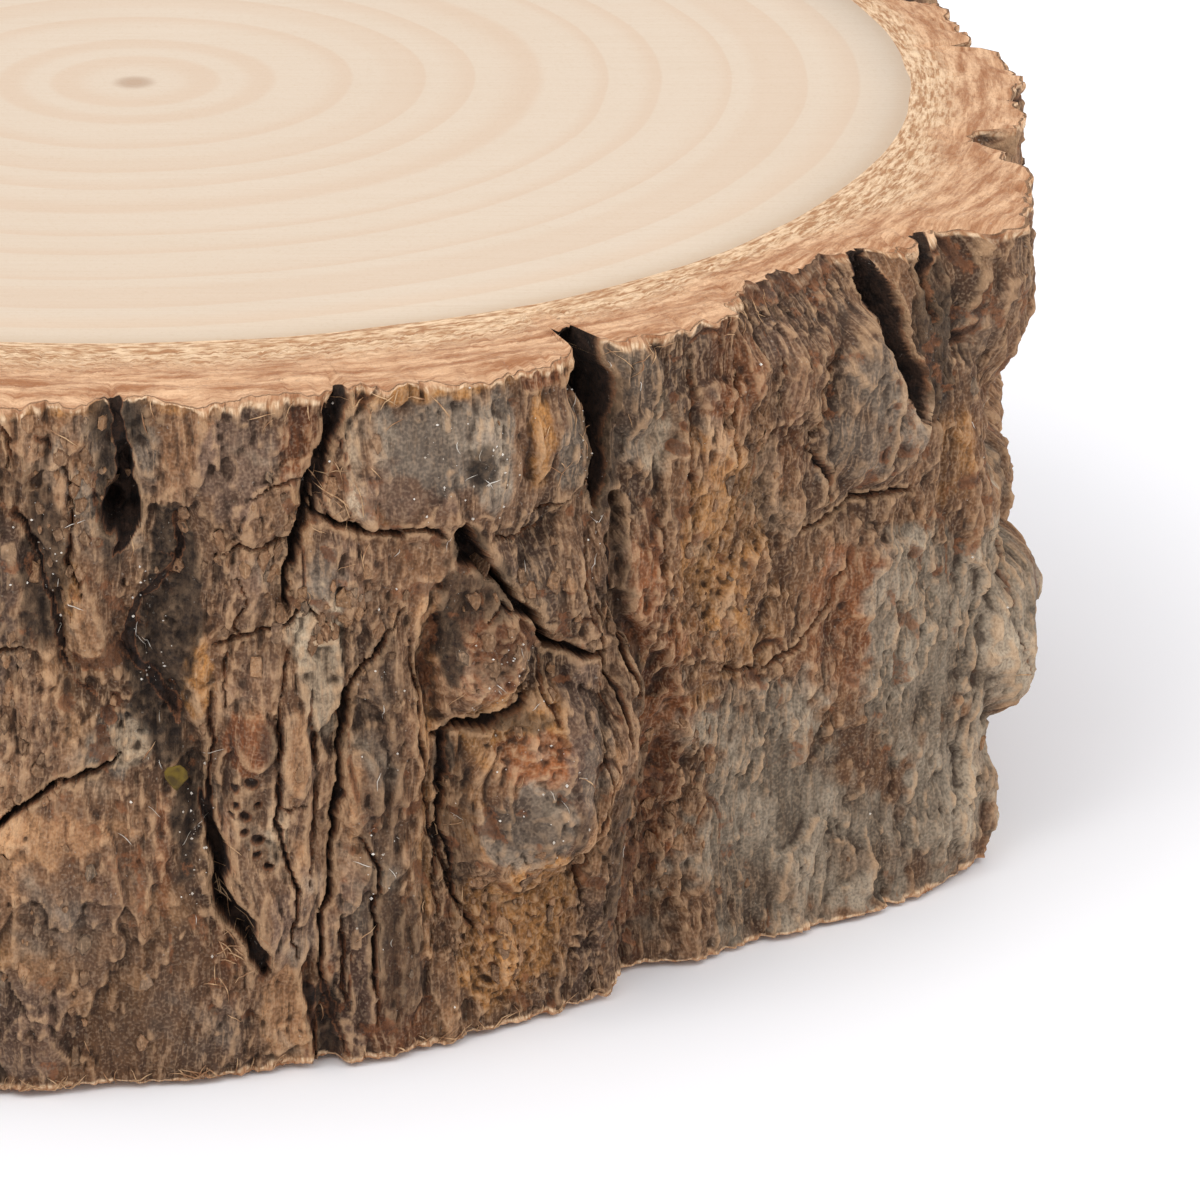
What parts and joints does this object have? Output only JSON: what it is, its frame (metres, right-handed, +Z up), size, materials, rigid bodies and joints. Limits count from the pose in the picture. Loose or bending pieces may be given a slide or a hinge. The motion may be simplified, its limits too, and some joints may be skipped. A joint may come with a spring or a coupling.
{
  "type": "wood slice",
  "caption": "Thick round slice of a small log, sawn flat on both faces, with deeply furrowed bark left on all round.",
  "frame": {"origin": "centre of the growth rings on the sawn underside, where the slice rests", "axes": "+Z up, square to both saw cuts; +X to the right and -Y towards the viewer in the picture; the height is the shortest extent"},
  "size_m": [0.1417, 0.1451, 0.053],
  "materials": {
    "bark": "dry, rough, furrowed bark in browns and greys, matt",
    "sawn_wood": "pale sawn end grain with soft growth rings, matt"
  },
  "bodies": {
    "root": {"wood_slice": "bark"}
  },
  "joints": []
}
